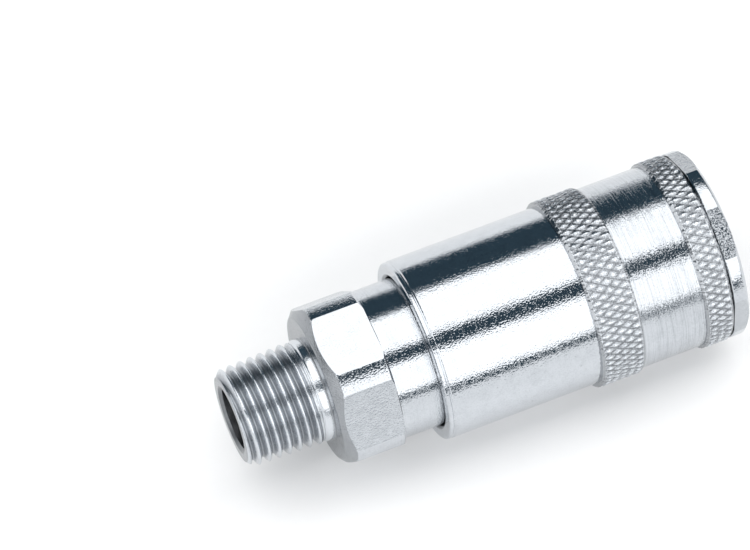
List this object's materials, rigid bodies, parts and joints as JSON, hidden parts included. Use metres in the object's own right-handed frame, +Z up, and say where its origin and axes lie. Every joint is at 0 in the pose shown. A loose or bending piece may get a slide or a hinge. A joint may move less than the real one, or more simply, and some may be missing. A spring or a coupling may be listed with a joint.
{
  "type": "quick disconnect coupler",
  "caption": "Steel quick disconnect coupler: tapered male inlet thread, hexagon, sprung release sleeve with knurled grip bands, ball lock and self-closing valve.",
  "frame": {"origin": "on the coupler's axis, at the end face of the male inlet thread", "axes": "+X along the axis from the inlet thread towards the plug mouth; +Z up with the coupler lying on its side, through one flat of the hexagon; +Y completes the right-handed frame"},
  "size_m": [0.0651, 0.0248, 0.0248],
  "materials": {
    "adaptor_steel": "bright nickel-plated turned steel",
    "body_steel": "bright nickel-plated turned steel",
    "sleeve_steel": "bright nickel-plated steel, knurled",
    "washer_steel": "plain steel strip",
    "spring_steel": "drawn stainless spring wire",
    "ball_steel": "polished hardened steel",
    "valve_brass": "turned brass",
    "seal_rubber": "black nitrile rubber"
  },
  "bodies": {
    "root": {"inlet_adaptor": "adaptor_steel", "socket_body": "body_steel", "joint_seal": "seal_rubber", "plug_seal": "seal_rubber", "valve_guide": "valve_brass", "valve_spring": "spring_steel"},
    "spring_turn": {"sleeve_spring": "spring_steel"},
    "sleeve": {"release_sleeve": "sleeve_steel", "spring_washer": "washer_steel"},
    "valve": {"valve_stem": "valve_brass", "valve_seal": "seal_rubber", "valve_crown": "valve_brass"},
    "ball_1": {"locking_ball_1": "ball_steel"},
    "ball_2": {"locking_ball_2": "ball_steel"},
    "ball_3": {"locking_ball_3": "ball_steel"},
    "ball_4": {"locking_ball_4": "ball_steel"},
    "ball_5": {"locking_ball_5": "ball_steel"},
    "ball_6": {"locking_ball_6": "ball_steel"},
    "ball_7": {"locking_ball_7": "ball_steel"},
    "ball_8": {"locking_ball_8": "ball_steel"}
  },
  "joints": [
    {"name": "sleeve_spin", "type": "hinge", "parent": "root", "child": "spring_turn", "pos_m": [0.0437, 0, 0], "axis": [1, 0, 0], "continuous": true},
    {"name": "sleeve_slide", "type": "slide", "parent": "spring_turn", "child": "sleeve", "axis": [-1, 0, 0], "range_m": [0, 0.0042], "stiffness_N_per_m": 1500, "springref_m": -0.003, "deforming": ["sleeve_spring"]},
    {"name": "valve_slide", "type": "slide", "parent": "root", "child": "valve", "axis": [-1, 0, 0], "range_m": [0, 0.0045], "stiffness_N_per_m": 900, "springref_m": -0.004, "deforming": ["valve_spring"]},
    {"name": "ball_1_lift", "type": "slide", "parent": "root", "child": "ball_1", "axis": [0, 1, 0], "range_m": [0, 0.0009]},
    {"name": "ball_2_lift", "type": "slide", "parent": "root", "child": "ball_2", "axis": [0, 0.7071, 0.7071], "range_m": [0, 0.0009]},
    {"name": "ball_3_lift", "type": "slide", "parent": "root", "child": "ball_3", "axis": [0, 0, 1], "range_m": [0, 0.0009]},
    {"name": "ball_4_lift", "type": "slide", "parent": "root", "child": "ball_4", "axis": [0, -0.7071, 0.7071], "range_m": [0, 0.0009]},
    {"name": "ball_5_lift", "type": "slide", "parent": "root", "child": "ball_5", "axis": [0, -1, 0], "range_m": [0, 0.0009]},
    {"name": "ball_6_lift", "type": "slide", "parent": "root", "child": "ball_6", "axis": [0, -0.7071, -0.7071], "range_m": [0, 0.0009]},
    {"name": "ball_7_lift", "type": "slide", "parent": "root", "child": "ball_7", "axis": [0, 0, -1], "range_m": [0, 0.0009]},
    {"name": "ball_8_lift", "type": "slide", "parent": "root", "child": "ball_8", "axis": [0, 0.7071, -0.7071], "range_m": [0, 0.0009]}
  ],
  "couplings": [
    {"joint": "ball_1_lift", "follows": "sleeve_slide", "ratio": 0.21429},
    {"joint": "ball_2_lift", "follows": "sleeve_slide", "ratio": 0.21429},
    {"joint": "ball_3_lift", "follows": "sleeve_slide", "ratio": 0.21429},
    {"joint": "ball_4_lift", "follows": "sleeve_slide", "ratio": 0.21429},
    {"joint": "ball_5_lift", "follows": "sleeve_slide", "ratio": 0.21429},
    {"joint": "ball_6_lift", "follows": "sleeve_slide", "ratio": 0.21429},
    {"joint": "ball_7_lift", "follows": "sleeve_slide", "ratio": 0.21429},
    {"joint": "ball_8_lift", "follows": "sleeve_slide", "ratio": 0.21429}
  ]
}
